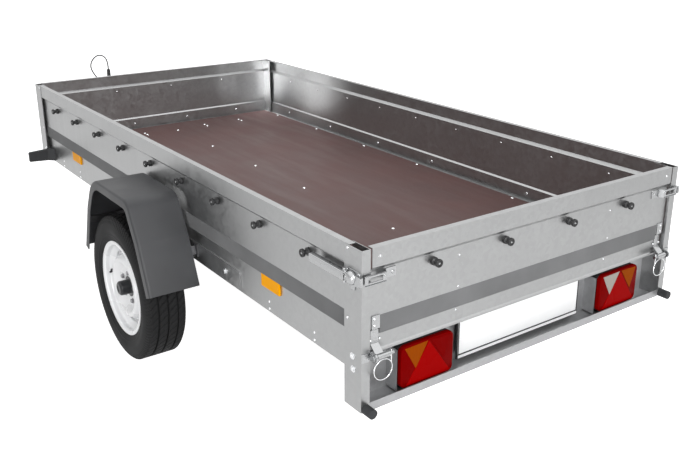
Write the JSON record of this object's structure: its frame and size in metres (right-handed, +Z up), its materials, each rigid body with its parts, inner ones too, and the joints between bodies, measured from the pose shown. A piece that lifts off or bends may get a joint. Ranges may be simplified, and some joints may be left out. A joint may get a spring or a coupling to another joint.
{
  "type": "utility trailer",
  "caption": "Single-axle galvanised box trailer with hinged tailgate, black mudguards, light bar, straight drawbar, ball coupling and jockey wheel.",
  "frame": {"origin": "on the ground under the middle of the whole trailer", "axes": "+Y forward to the coupling, +X to the trailer's right, +Z up"},
  "size_m": [1.68, 3.766, 0.796],
  "materials": {
    "galvanised_sheet": "hot-dip galvanised sheet, satin",
    "bright_zinc": "bright zinc-plated fittings",
    "floor_film": "brown film-faced plywood",
    "mudguard_plastic": "moulded black plastic",
    "tyre": "black rubber",
    "rim_paint": "silver-white paint",
    "black_metal": "black paint",
    "lens_red": "red lens",
    "black_plastic": "black plastic",
    "plate_white": "blank white plate",
    "reflector_amber": "amber reflector",
    "black_rubber": "black rubber"
  },
  "bodies": {
    "trailer": {"frame_rail_left": "galvanised_sheet", "frame_rail_right": "galvanised_sheet", "cross_members": "galvanised_sheet", "side_plates": "galvanised_sheet", "floor_board": "floor_film", "wall_left": "galvanised_sheet", "wall_right": "galvanised_sheet", "wall_front": "galvanised_sheet", "rear_posts": "galvanised_sheet", "front_posts": "galvanised_sheet", "hinge_brackets": "bright_zinc", "hinge_rings": "bright_zinc", "latches": "bright_zinc", "light_bar": "galvanised_sheet", "lamp_brackets": "galvanised_sheet", "lamp_housings": "black_plastic", "lamp_lenses": "lens_red", "plate_holder": "black_plastic", "number_plate": "plate_white", "rear_buffers": "black_rubber", "wall_knobs": "black_plastic", "side_reflectors": "reflector_amber", "marker_arms": "black_rubber", "axle_beam": "galvanised_sheet", "trailing_arms": "black_metal", "mudguard_left": "mudguard_plastic", "mudguard_right": "mudguard_plastic", "mudguard_stays": "galvanised_sheet", "drawbar": "galvanised_sheet", "drawbar_clamps": "galvanised_sheet", "coupling_head": "bright_zinc", "coupling_handle": "black_metal", "jack_clamp": "bright_zinc", "plug_holder": "galvanised_sheet", "plug": "black_plastic", "lead_gland": "black_rubber", "lead": "black_rubber"},
    "wheel_left": {"tyre_left": "tyre", "rim_left": "rim_paint", "hub_left": "black_metal"},
    "wheel_right": {"tyre_right": "tyre", "rim_right": "rim_paint", "hub_right": "black_metal"},
    "tailgate": {"tailgate_panel": "galvanised_sheet", "tailgate_hinges": "bright_zinc", "tailgate_keepers": "bright_zinc", "tailgate_knobs": "black_plastic"},
    "jack_leg": {"jack_tube": "bright_zinc"},
    "jack_castor": {"jack_fork": "bright_zinc"},
    "jack_wheel": {"jack_wheel": "black_rubber"}
  },
  "joints": [
    {"name": "wheel_left_spin", "type": "hinge", "parent": "trailer", "child": "wheel_left", "pos_m": [-0.751, -0.576, 0.272], "axis": [1, 0, 0], "continuous": true},
    {"name": "wheel_right_spin", "type": "hinge", "parent": "trailer", "child": "wheel_right", "pos_m": [0.751, -0.576, 0.272], "axis": [1, 0, 0], "continuous": true},
    {"name": "tailgate_hinge", "type": "hinge", "parent": "trailer", "child": "tailgate", "pos_m": [0, -1.863, 0.495], "axis": [1, 0, 0], "range_deg": [0, 180]},
    {"name": "jack_slide", "type": "slide", "parent": "trailer", "child": "jack_leg", "axis": [0, 0, 1], "range_m": [-0.12, 0.06]},
    {"name": "jack_swivel", "type": "hinge", "parent": "jack_leg", "child": "jack_castor", "pos_m": [0.07, 1.295, 0.225], "axis": [0, 0, 1], "continuous": true},
    {"name": "jack_wheel_spin", "type": "hinge", "parent": "jack_castor", "child": "jack_wheel", "pos_m": [0.07, 1.26, 0.1], "axis": [1, 0, 0], "continuous": true}
  ]
}
